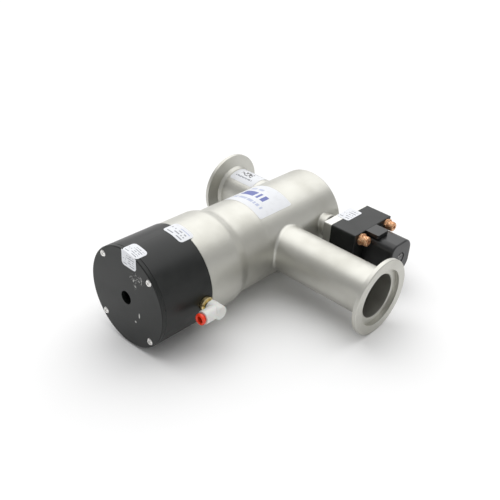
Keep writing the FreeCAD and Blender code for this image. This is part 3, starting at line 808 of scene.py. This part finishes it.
def swept_ring(name: str, loops: Sequence[Sequence[Sequence[float]]],
               sharp: float = 35.0) -> bpy.types.Object:
    """Join closed cross-sections, one after the other and the last to the first.

    Args:
        name: the piece's name.
        loops: the sections, each with the same number of points.
        sharp: edges that turn by more than this many degrees stay sharp.

    Returns:
        The object.
    """
    count, size = len(loops), len(loops[0])
    points = [p for loop in loops for p in loop]
    faces = [
        face for i in range(count) for face in band(i * size, (i + 1) % count * size, size)
    ]
    return mesh_object(name, points, faces, sharp)


def lathe(name: str, profile: Sequence[tuple[float, float]], base: Point, direction: Point,
          steps: int = 96, swell: Optional[Callable[[float, float], float]] = None,
          ) -> bpy.types.Object:
    """Turn a closed profile round an axis.

    Args:
        name: the piece's name.
        profile: (distance along the axis, radius) pairs in metres, in order round the section.
        base: where the axis starts.
        direction: where it points.
        steps: how many sections there are.
        swell: what to add to the radius, from the distance and the angle.

    Returns:
        The object.
    """
    forward = Vector(direction).normalized()
    side = forward.orthogonal().normalized()
    up = forward.cross(side)
    loops = []
    for step in range(steps):
        angle = 2 * math.pi * step / steps
        out = side * math.cos(angle) + up * math.sin(angle)
        loop = []
        for along, radius in profile:
            swollen = radius + (swell(along, angle) if swell and radius else 0.0)
            loop.append(Vector(base) + forward * along + out * swollen)
        loops.append(loop)
    return swept_ring(name, loops)


def tube_along(
    name: str, path: Sequence[Vector], radius: float, sides: int = 14
) -> bpy.types.Object:
    """A round wire along a path, with flat ends.

    Args:
        name: the piece's name.
        path: points along the middle of the wire.
        radius: the wire's radius.
        sides: how many sides its section has.

    Returns:
        The object.
    """
    points: list[Vector] = []
    normal = None
    for i, here in enumerate(path):
        ahead = (path[min(i + 1, len(path) - 1)] - path[max(i - 1, 0)]).normalized()
        normal = ahead.orthogonal() if normal is None else normal - ahead * normal.dot(ahead)
        normal = normal.normalized()
        other = ahead.cross(normal)
        for j in range(sides):
            a = 2 * math.pi * j / sides
            points.append(here + (normal * math.cos(a) + other * math.sin(a)) * radius)
    faces: list[tuple[int, ...]] = [
        face for i in range(len(path) - 1) for face in band(i * sides, (i + 1) * sides, sides)
    ]
    last = (len(path) - 1) * sides
    faces += [tuple(range(sides))[::-1], tuple(range(last, last + sides))]
    return mesh_object(name, points, faces, 50.0)


class Workshop:
    """Makes each finish once and dresses pieces in them."""

    def __init__(self) -> None:
        """Start with no finishes made."""
        self.made: dict[Finish, bpy.types.Material] = {}

    def material(self, finish: Finish) -> bpy.types.Material:
        """The material of a finish, built on first use.

        Args:
            finish: the finish.

        Returns:
            Its material.
        """
        if finish not in self.made:
            self.made[finish] = finish.material()
        return self.made[finish]

    def dress(self, finish: Finish, *nodes: str) -> None:
        """Give CAD pieces a finish, in their own material slots.

        Args:
            finish: the finish.
            *nodes: the pieces' names.
        """
        for node in nodes:
            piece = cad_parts[node]
            if not piece.material_slots:
                piece.data.materials.append(None)
            for place in piece.material_slots:
                place.material = self.material(finish)
            log.info("%s: %s", node, finish.name)

    def add(self, piece: bpy.types.Object, finish: Finish, slot: str, body: str,
            *stands_for: str) -> None:
        """Dress a made piece and fix it to a body.

        Args:
            piece: the object.
            finish: its finish.
            slot: not used.
            body: the body that it moves with.
            *stands_for: CAD nodes that it replaces.
        """
        piece.data.materials.append(self.material(finish))
        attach(piece, body)
        if stands_for:
            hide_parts(*stands_for)
        log.info("%s: %s on %s", piece.name, finish.name, body)


def centre_of(node: str) -> Vector:
    """The middle of a CAD node's box."""
    low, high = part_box(node)
    return (low + high) / 2


# Sub-assemblies

STEEL = BlastedSteel("blasted_stainless")
TURNED = TurnedMetal("turned_stainless")
SCREW = BrightSteel("bright_fasteners")
SPRING_WIRE = BrightSteel("spring_wire", (0.50, 0.49, 0.47), 0.28)
RUBBER = Rubber("black_rubber")
BLACK = BlackAnodised("black_anodised_barrel")


@dataclass
class SteelBody:
    """The welded stainless body with its two ports."""

    shop: Workshop
    tube_radius: float = 17.4 * MM
    body_radius: float = 32.1 * MM
    boss_radius: float = 7.6 * MM
    neck_radius: float = 32.3 * MM
    sections: int = 240
    ripples: int = 60         # round a tube's weld
    ripple: float = 0.04      # as a share of the weld's width
    curve_steps: int = 8
    bury: float = 0.4 * MM    # into the metal
    bead_reach: float = 2.4 * MM    # half its width
    bead_crown: float = 0.13 * MM
    bead_inset: float = 0.01 * MM
    bead_depth: float = 0.5 * MM
    bead_steps: int = 24

    def saddle_weld(self, name: str, centre: Vector, radius: float, side: int,
                    leg: float) -> bpy.types.Object:
        """The blended weld where a round tube meets the body tube.

        Args:
            name: the weld's name.
            centre: a point on the tube's axis.
            radius: the tube's radius.
            side: -1 for the outlet's side and +1 for the inlet's.
            leg: how far it reaches along each surface.

        Returns:
            The weld.
        """
        axis_y = centre_of("body_tube").y
        loops = []
        for i in range(self.sections):
            t = 2 * math.pi * i / self.sections
            out = Vector((math.cos(t), 0, math.sin(t)))
            z = centre.z + radius * out.z
            y = side * math.sqrt(self.body_radius ** 2 - z ** 2)
            root = Vector((centre.x + radius * out.x, axis_y + y, z))
            normal = Vector((0, y, z)) / self.body_radius
            across = (out - normal * normal.dot(out)).normalized()
            foot = root + across * leg
            radial = Vector((0, foot.y - axis_y, foot.z))
            foot = Vector((foot.x, axis_y, 0)) + radial.normalized() * self.body_radius
            rise = leg * (1 + self.ripple * math.sin(self.ripples * t))
            top = root + Vector((0, side, 0)) * rise
            loop = [root - normal * self.bury - out * self.bury]
            for k in range(self.curve_steps + 1):
                share = k / self.curve_steps
                loop.append(top * (1 - share) ** 2 + root * (2 * (1 - share) * share)
                            + foot * share ** 2)
            loops.append(loop)
        return swept_ring(name, loops, 50.0)

    def seam_bead(self) -> bpy.types.Object:
        """The dressed weld that smooths the step from the bonnet to the body tube.

        Returns:
            The bead.
        """
        neck, reach = self.neck_radius, self.bead_reach
        middle = centre_of("weld_seam")
        profile = [(-reach, neck - self.bead_depth)]
        for k in range(self.bead_steps + 1):
            share = k / self.bead_steps
            along = -reach + 2 * reach * share
            fall = share * share * (3 - 2 * share)
            crown = math.cos(math.pi * along / (2 * reach)) ** 2
            surface = neck + (self.body_radius - neck) * fall
            profile.append((along, surface + self.bead_crown * crown - self.bead_inset))
        profile.append((reach, neck - self.bead_depth))
        return lathe("seam_bead", profile, (middle.x, middle.y, 0), Axis.X.value, 180)

    def build(self) -> None:
        """Dress the body and add its welds."""
        shop = self.shop
        shop.dress(
            STEEL, "bonnet", "body_tube", "outlet_tube", "inlet_tube", "outlet_flange",
            "inlet_flange", "vent_boss", "body_end_plate")
        weld = BlastedSteel(
            "dressed_weld", colour=(0.50, 0.48, 0.44), shade=(0.40, 0.37, 0.32), roughness=0.45)
        shop.dress(weld, "weld_seam")
        shop.dress(TURNED, "seat_plate", "bellows_carrier")
        shop.add(self.seam_bead(), STEEL, "weld_steel", "valve_body")
        for name, node, radius, side, leg in (
            ("outlet_weld_blend", "outlet_tube", self.tube_radius, -1, 2.0 * MM),
            ("inlet_weld_blend", "inlet_tube", self.tube_radius, 1, 2.0 * MM),
            ("boss_weld_blend", "vent_boss", self.boss_radius, -1, 1.0 * MM),
        ):
            blend = self.saddle_weld(name, centre_of(node), radius, side, leg)
            shop.add(blend, STEEL, "blasted_steel", "valve_body")


@dataclass
class AirCylinder:
    """The black cylinder at the end of the body."""

    shop: Workshop
    scuffs: tuple[Scuff, ...] = (
        Scuff(0.1040, 0.0195, (0.0045, 0.0050), 0.60),
        Scuff(0.0975, 0.0205, (0.0080, 0.0060), 0.70),
        Scuff(0.1010, 0.0140, (0.0030, 0.0080), 0.60),
        Scuff(0.1030, 0.0172, (0.0007, 0.0014), 0.9, True),
        Scuff(0.0982, -0.0076, (0.0008, 0.0026), 1.0, True),
        Scuff(0.1021, -0.0143, (0.0011, 0.0010), 0.9, True),
    )

    def build(self) -> None:
        """Dress the cap, barrel, piston and seals."""
        shop = self.shop
        cap_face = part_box("end_cap")[0].x
        cap = BlackAnodised("black_anodised_cap", (0.0065, 0.0078, 0.0072), (0.013, 0.015, 0.014),
                            scuffs=self.scuffs, face=cap_face)
        shop.dress(cap, "end_cap")
        shop.dress(BLACK, "cylinder_barrel")
        shop.dress(SCREW, "tie_screws", "piston_nut", "poppet_screw")
        shop.dress(RUBBER, "end_cap_o_ring", "base_o_ring", "bonnet_o_ring", "rod_seal",
                   "piston_seal", "poppet_seal")
        shop.dress(TurnedMetal("turned_bronze", (0.60, 0.38, 0.17), (0.45, 0.27, 0.11)),
                   "stem_bushing")
        shop.dress(TurnedMetal("turned_aluminium", (0.74, 0.74, 0.73), (0.60, 0.60, 0.59)),
                   "piston")
        shop.dress(MouldedPlastic("wear_ring_plastic", (0.72, 0.68, 0.58), (0.62, 0.58, 0.48), 0.5),
                   "piston_wear_ring")
        shop.dress(TURNED, "stem", "bellows_end_ring", "poppet")


STEPS_PER_TURN = 40
CLOSED_TURNS = 0.8   # at each end of a spring, lying flat


def wound_spring(node: str, axis: Axis, turns: int, wire: float) -> bpy.types.Object:
    """A round wire spring in the place of a CAD one.

    Args:
        node: the spring's CAD node.
        axis: the direction of its axis.
        turns: how often the open part goes round.
        wire: the wire's radius.

    Returns:
        The spring, with most of a closed turn at each end.
    """
    low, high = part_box(node)
    i, j = axis.across
    start, stop = low[axis.along] + wire, high[axis.along] - wire
    radius = min(high[i] - low[i], high[j] - low[j]) / 2 - wire
    middle = (low + high) / 2
    path = []
    steps = turns * STEPS_PER_TURN
    for k in range(steps + 1):
        turn = k / steps * (turns + 2 * CLOSED_TURNS)
        rise = min(max((turn - CLOSED_TURNS) / turns, 0.0), 1.0)
        angle = 2 * math.pi * turn
        spot = Vector((0, 0, 0))
        spot[axis.along] = start + (stop - start) * rise
        spot[i] = middle[i] + radius * math.cos(angle)
        spot[j] = middle[j] + radius * math.sin(angle)
        path.append(spot)
    return tube_along(node + "_wire", path, wire)


@dataclass
class MovingSeal:
    """The bellows and the return spring, which shorten as the poppet opens."""

    shop: Workshop
    stroke: float = 16.0 * MM
    slack: float = 0.06 * MM
    folds: int = 12
    fold_steps: int = 12
    fold_depth: float = 4.2 * MM
    fold_round: float = 0.7   # 1 for a plain wave; less for steeper sides
    wall: float = 0.3 * MM
    wire: float = 1.1 * MM
    turns: int = 11

    def convolutions(self) -> list[tuple[float, float]]:
        """The rounded section of the bellows.

        Returns:
            Distances along the axis with their radii, out along the outside and back inside.
        """
        low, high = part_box("bellows")
        length = high.x - low.x
        crest = (high.z - low.z) / 2
        root = crest - self.fold_depth
        middle, swing = (crest + root) / 2, (crest - root) / 2
        outer, inner = [], []
        steps = self.folds * self.fold_steps
        for i in range(steps + 1):
            wave = -math.cos(2 * math.pi * self.folds * i / steps)
            wave = math.copysign(abs(wave) ** self.fold_round, wave)
            x = length * i / steps
            outer.append((x, middle + swing * wave))
            inner.append((x, middle + swing * wave - self.wall))
        return outer + inner[::-1]

    def shorten(self, piece: bpy.types.Object) -> None:
        """Give a piece its own copy of its mesh.

        Args:
            piece: the piece.
        """
        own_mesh(piece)

    def build(self) -> None:
        """Make the two pieces that change length."""
        shop = self.shop
        low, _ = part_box("bellows")
        axis_y = centre_of("bellows").y
        pleats = lathe("bellows_pleats", self.convolutions(), (low.x, axis_y, 0), Axis.X.value, 120)
        steel = TurnedMetal("bellows_stainless", (0.60, 0.585, 0.55), (0.48, 0.46, 0.42), 0.3)
        shop.add(pleats, steel, "bellows_steel", "valve_body", "bellows")
        self.shorten(pleats)
        spring = wound_spring("return_spring", Axis.X, self.turns, self.wire)
        shop.add(spring, SPRING_WIRE, "spring_steel", "valve_body", "return_spring")
        self.shorten(spring)


@dataclass
class PushInElbow:
    """The swivelling air fitting."""

    shop: Workshop

    def build(self) -> None:
        """Dress the brass, white and red pieces."""
        shop = self.shop
        hub = tuple(centre_of("elbow_adapter"))
        brass = TurnedMetal(
            "bright_brass", (0.86, 0.72, 0.40), (0.66, 0.52, 0.24), 0.2, Axis.Y, hub)
        shop.dress(brass, "elbow_adapter")
        shop.dress(
            MouldedPlastic("white_moulding", (0.70, 0.705, 0.675), (0.62, 0.62, 0.59), 0.3,
                           subsurface=0.15), "elbow_body")
        shop.dress(
            MouldedPlastic("red_moulding", (0.85, 0.050, 0.012), (0.62, 0.025, 0.006), 0.28,
                           subsurface=0.1), "release_collet")
        shop.dress(RUBBER, "swivel_o_ring", "tube_seal")
        shop.dress(SCREW, "grab_ring")


@dataclass
class VentValve:
    """The small solenoid valve on the side of the body."""

    shop: Workshop
    travel: float = 1.4 * MM
    spring_turns: int = 5
    spring_wire: float = 0.35 * MM
    hexagon: float = 2.6 * MM
    flat: float = 4.0 * MM
    nose: float = 3.62 * MM
    nose_turn: float = 1.5 * MM
    chamfer: float = 0.35 * MM
    recess: float = 1.2 * MM
    lump: float = 0.07 * MM   # how far a grain stands out or in

    def silencer(self, node: str) -> bpy.types.Object:
        """A lumpy sintered nose on a hexagon, in the place of a CAD breather.

        Args:
            node: the breather's CAD node.

        Returns:
            The silencer.
        """
        middle = centre_of(node)
        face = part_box("vent_valve_body")[0].y
        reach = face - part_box(node)[0].y
        hexagon, flat, nose, turn = self.hexagon, self.flat, self.nose, self.nose_turn
        corner = flat / math.cos(math.pi / 6)
        rows = [(-0.5 * MM, 0.5 * MM), (-0.5 * MM, 2.3 * MM), (0.0, 2.3 * MM), (0.0, flat),
                (self.chamfer, corner), (hexagon - self.chamfer, corner), (hexagon, flat),
                (hexagon, nose)]
        straight = reach - hexagon - turn
        rows += [(hexagon + straight * k / 8, nose) for k in range(1, 9)]
        rows += [(reach - turn + turn * math.sin(a), nose - turn + turn * math.cos(a))
                 for a in (0.3, 0.6, 0.9, 1.2, 1.5)]
        floor = reach - self.recess
        rows += [(reach, 1.4 * MM), (reach - 0.15 * MM, 1.1 * MM), (floor, 0.9 * MM),
                 (floor, 0.0), (-0.5 * MM, 0.0)]
        grains = np.random.default_rng(7).uniform(-1, 1, (64, 64))

        def swell(along: float, angle: float) -> float:
            """Hexagon flats on the base, random grains on the nose.

            Args:
                along: distance from the valve block.
                angle: angle round the axis.

            Returns:
                What to add to the radius.
            """
            if 0.1 * MM < along < hexagon - 0.1 * MM:
                wedge = angle % (math.pi / 3) - math.pi / 6
                return flat / math.cos(wedge) - corner
            if along <= hexagon:
                return 0.0
            i, j = int(along / MM * 4) % 64, int(angle / (2 * math.pi) * 48) % 64
            return self.lump * grains[i][j]

        return lathe(node + "_silencer", rows, (middle.x, face, middle.z), (0, -1, 0), 96, swell)

    def build(self) -> None:
        """Dress the valve and add its silencers."""
        shop = self.shop
        shop.dress(BlackAnodised("black_anodised_block", turned=False), "vent_valve_body")
        shop.dress(MilledMetal("milled_aluminium"), "vent_adapter_plate")
        shop.dress(RUBBER, "vent_gasket", "vent_plate_o_ring", "plunger_seal", "lead_grommet")
        shop.dress(SCREW, "vent_screws")
        shop.dress(BrightSteel("blackened_nut", (0.06, 0.06, 0.062), 0.35),
                   "coil_nut", "fixed_core")
        core = tuple(centre_of("core_tube"))
        shop.dress(TurnedMetal("core_steel", axis=Axis.Y, centre=core), "core_tube", "plunger")
        black, worn = (0.0060, 0.0064, 0.0070), (0.014, 0.015, 0.016)
        shop.dress(MouldedPlastic("coil_resin", black, worn, 0.32, relief=0.04 * MM),
                   "coil_housing")
        shop.dress(MouldedPlastic("blackened_bracket", black, worn, 0.32), "coil_yoke")
        shop.dress(WoundCopper("copper_winding"), "coil_winding")
        bronze = SinteredBronze("sintered_bronze")
        for node in ("breather_left", "breather_right"):
            shop.add(self.silencer(node), bronze, "sintered_bronze", "valve_body", node)
        spring = wound_spring("plunger_spring", Axis.Y, self.spring_turns, self.spring_wire)
        shop.add(spring, SPRING_WIRE, "spring_steel", "valve_body", "plunger_spring")
        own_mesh(spring)


@dataclass
class Stickers:
    """The five labels."""

    shop: Workshop

    def wrapped(self, node: str, angles: tuple[float, float], pattern: Print,
                fold: bool = False) -> None:
        """Dress a label that goes round the X axis.

        Args:
            node: the label's node.
            angles: its limits in degrees, from +Y over the top.
            pattern: what it shows.
            fold: whether it is folded down over the end face.
        """
        low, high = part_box(node)
        limits = (math.radians(angles[0]), math.radians(angles[1]))
        sticker = Sticker(node, Axis.X, (0.0, centre_of("body_tube").y, 0.0), (low.x, high.x),
                          limits, pattern, fold=fold)
        self.shop.dress(sticker, node)

    def build(self) -> None:
        """Dress all of them."""
        self.wrapped("body_label", (125.0, 55.0), Print.NAMEPLATE)
        self.wrapped("barrel_label", (112.0, 83.0), Print.HEADED_LINES)
        self.wrapped("cap_label", (108.0, 85.8), Print.SMALL_LINES, fold=True)
        low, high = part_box("inlet_label")
        inlet = centre_of("inlet_tube")
        self.shop.dress(
            Sticker("inlet_label", Axis.Y, tuple(inlet), (high.y, low.y),
                    (math.radians(118.0), math.radians(55.0)), Print.CODE_BLOCK), "inlet_label")
        low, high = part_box("vent_label")
        self.shop.dress(
            Sticker("vent_label", Axis.Z, (0, 0, 0), (low.x, high.x), (low.y, high.y),
                    Print.SMALL_LINES), "vent_label")


@dataclass
class Studio:
    """Table, lights and camera."""

    shop: Workshop
    floor_normal: Point = (-0.0244, 0.0543, 1.0)
    floor_point: Point = (-0.0807, 0.1111, -0.03555)
    floor_gap: float = 0.1 * MM
    camera_point: Point = (-0.34663, -0.18930, 0.27148)
    forward: Point = (0.63449552, 0.56181289, -0.53083115)
    up: Point = (0.35209806, 0.40129224, 0.84557170)
    lens: float = 51.432
    clip: tuple[float, float] = (0.01, 50.0)
    room: float = 0.48
    sky_power: float = 2.45
    sky_width: float = 92.0
    sky_lean: tuple[float, float] = (-20.0, 20.0)
    table_flat: float = 5.0
    table_reach: float = 30.0
    table_rise: float = 5.6

    def floor(self) -> None:
        """A wide table that the valve rests on, curving up at its far rim."""
        normal = Vector(self.floor_normal).normalized()
        side = normal.orthogonal().normalized()
        other = normal.cross(side)
        spot = Vector(self.floor_point) - normal * self.floor_gap
        steps, around = 16, 96
        points = [spot]
        for step in range(steps + 1):
            part = step / steps
            reach = self.table_flat + (self.table_reach - self.table_flat) * part
            for index in range(around):
                turn = math.tau * index / around
                points.append(spot + normal * self.table_rise * part * part
                              + (side * math.cos(turn) + other * math.sin(turn)) * reach)
        faces: list[tuple[int, ...]] = [
            (0, 1 + index, 1 + (index + 1) % around) for index in range(around)]
        for step in range(steps):
            faces += band(1 + step * around, 1 + (step + 1) * around, around)
        table = mesh_object("studio_table", points, faces)
        table.data.materials.append(self.shop.material(PaleFloor("pale_table")))

    def lights(self) -> None:
        """An even pale room under one wide soft lamp."""
        world = bpy.data.worlds.new("pale_room")
        world.use_nodes = True
        room = world.node_tree.nodes["Background"]
        room.inputs["Color"].default_value = (1.0, 1.0, 1.0, 1.0)
        room.inputs["Strength"].default_value = self.room
        bpy.context.scene.world = world
        lamp = bpy.data.lights.new("soft_ceiling", "SUN")
        lamp.energy = self.sky_power
        lamp.angle = math.radians(self.sky_width)
        made = bpy.data.objects.new("soft_ceiling", lamp)
        about_x, about_y = (math.radians(lean) for lean in self.sky_lean)
        made.rotation_euler = (about_x, about_y, 0.0)
        bpy.context.scene.collection.objects.link(made)

    def camera(self) -> None:
        """The viewing camera."""
        data = bpy.data.cameras.new("view_camera")
        data.lens = self.lens
        data.clip_start, data.clip_end = self.clip
        made = bpy.data.objects.new("view_camera", data)
        bpy.context.scene.collection.objects.link(made)
        forward, up = Vector(self.forward), Vector(self.up)
        right = forward.cross(up)
        turn = Matrix((right, up, -forward)).transposed()
        made.matrix_world = Matrix.Translation(self.camera_point) @ turn.to_4x4()
        bpy.context.scene.camera = made

    def build(self) -> None:
        """Set the scene."""
        self.floor()
        self.lights()
        self.camera()
        view = bpy.context.scene.view_settings
        view.view_transform = "Standard"
        view.look = "None"


def main() -> None:
    """Dress the frame and add what it lacks."""
    logging.basicConfig(level=logging.INFO, format="%(name)s: %(message)s")
    shop = Workshop()
    for assembly in (SteelBody(shop), AirCylinder(shop), MovingSeal(shop), PushInElbow(shop),
                     VentValve(shop), Stickers(shop), Studio(shop)):
        assembly.build()
        log.info("%s built", type(assembly).__name__)


if __name__ == "__main__":
    main()
